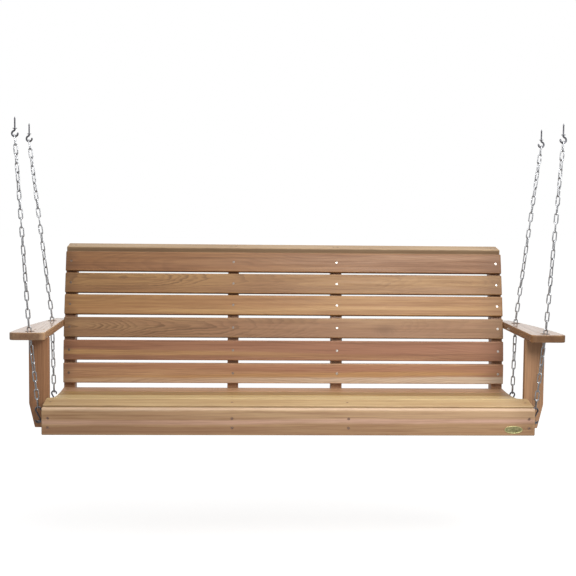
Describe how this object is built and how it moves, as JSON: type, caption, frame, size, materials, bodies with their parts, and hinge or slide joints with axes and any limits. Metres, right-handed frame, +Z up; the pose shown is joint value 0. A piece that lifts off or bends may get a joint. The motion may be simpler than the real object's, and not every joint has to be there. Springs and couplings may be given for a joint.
{
  "type": "porch swing seat",
  "caption": "Slatted wooden porch swing bench with a curved seat and back, wide arms, and steel chains that hang it from ceiling screw hooks.",
  "frame": {"origin": "middle of the footprint, at the height of the lowest edge of the bench", "axes": "+X runs to the viewer's right along the slats, +Y runs from the front apron to the back, +Z is up"},
  "size_m": [1.7596, 0.6307, 0.9779],
  "materials": {
    "seat_wood": "oiled cedar, fine straight grain",
    "back_wood": "oiled cedar, straight and cathedral grain with pale sapwood streaks",
    "apron_wood": "oiled cedar",
    "arm_wood": "oiled cedar with a soft sheen",
    "frame_wood": "oiled cedar",
    "screw_steel": "bright zinc",
    "bolt_steel": "bright zinc",
    "chain_steel": "zinc plated wire",
    "hook_steel": "zinc plated wire",
    "plate_metal": "aged brass, unmarked"
  },
  "bodies": {
    "hangers": {"ceiling_hook_front_left": "hook_steel", "ceiling_hook_front_right": "hook_steel", "ceiling_hook_rear_left": "hook_steel", "ceiling_hook_rear_right": "hook_steel"},
    "chain_front_left": {"upper_chain_front_left": "chain_steel"},
    "chain_front_right": {"upper_chain_front_right": "chain_steel"},
    "chain_rear_left": {"upper_chain_rear_left": "chain_steel"},
    "chain_rear_right": {"upper_chain_rear_right": "chain_steel"},
    "bench": {"front_apron": "apron_wood", "seat_slat_1": "seat_wood", "seat_slat_2": "seat_wood", "seat_slat_3": "seat_wood", "seat_slat_4": "seat_wood", "seat_slat_5": "seat_wood", "seat_slat_6": "seat_wood", "back_slat_1": "back_wood", "back_slat_2": "back_wood", "back_slat_3": "back_wood", "back_slat_4": "back_wood", "back_slat_5": "back_wood", "back_slat_6": "back_wood", "top_rail": "back_wood", "seat_rib_left_end": "frame_wood", "seat_rib_left_inner": "frame_wood", "seat_rib_right_inner": "frame_wood", "seat_rib_right_end": "frame_wood", "upright_left_end": "frame_wood", "upright_left_inner": "frame_wood", "upright_right_inner": "frame_wood", "upright_right_end": "frame_wood", "arm_left": "arm_wood", "arm_right": "arm_wood", "arm_post_left": "frame_wood", "arm_post_right": "frame_wood", "seat_slat_screws": "screw_steel", "back_slat_screws": "screw_steel", "apron_screws": "screw_steel", "top_rail_screws": "screw_steel", "arm_screws": "screw_steel", "post_screws": "screw_steel", "frame_bolts": "bolt_steel", "frame_bolt_nuts": "bolt_steel", "eye_bolt_front_left": "hook_steel", "eye_bolt_front_right": "hook_steel", "eye_bolt_rear_left": "hook_steel", "eye_bolt_rear_right": "hook_steel", "eye_bolt_nuts": "bolt_steel", "s_hook_front_left": "hook_steel", "s_hook_front_right": "hook_steel", "s_hook_rear_left": "hook_steel", "s_hook_rear_right": "hook_steel", "lower_chain_front_left": "chain_steel", "lower_chain_front_right": "chain_steel", "lower_chain_rear_left": "chain_steel", "lower_chain_rear_right": "chain_steel", "oval_plate": "plate_metal"}
  },
  "joints": [
    {"name": "swing", "type": "hinge", "parent": "hangers", "child": "chain_front_left", "pos_m": [-0.85558, -0.20639, 0.91685], "axis": [1, 0, 0], "range_deg": [-20, 20]},
    {"name": "chain_front_right_turn", "type": "hinge", "parent": "hangers", "child": "chain_front_right", "pos_m": [0.85558, -0.20639, 0.91685], "axis": [1, 0, 0], "range_deg": [-20, 20]},
    {"name": "chain_rear_left_turn", "type": "hinge", "parent": "hangers", "child": "chain_rear_left", "pos_m": [-0.86785, 0.11561, 0.91685], "axis": [1, 0, 0], "range_deg": [-20, 20]},
    {"name": "chain_rear_right_turn", "type": "hinge", "parent": "hangers", "child": "chain_rear_right", "pos_m": [0.86785, 0.11561, 0.91685], "axis": [1, 0, 0], "range_deg": [-20, 20]},
    {"name": "bench_level", "type": "hinge", "parent": "chain_front_left", "child": "bench", "pos_m": [-0.8164, -0.20639, 0.327], "axis": [1, 0, 0], "range_deg": [-20, 20]}
  ],
  "couplings": [
    {"joint": "chain_front_right_turn", "follows": "swing", "ratio": 1},
    {"joint": "chain_rear_left_turn", "follows": "swing", "ratio": 1},
    {"joint": "chain_rear_right_turn", "follows": "swing", "ratio": 1},
    {"joint": "bench_level", "follows": "swing", "ratio": -1}
  ]
}
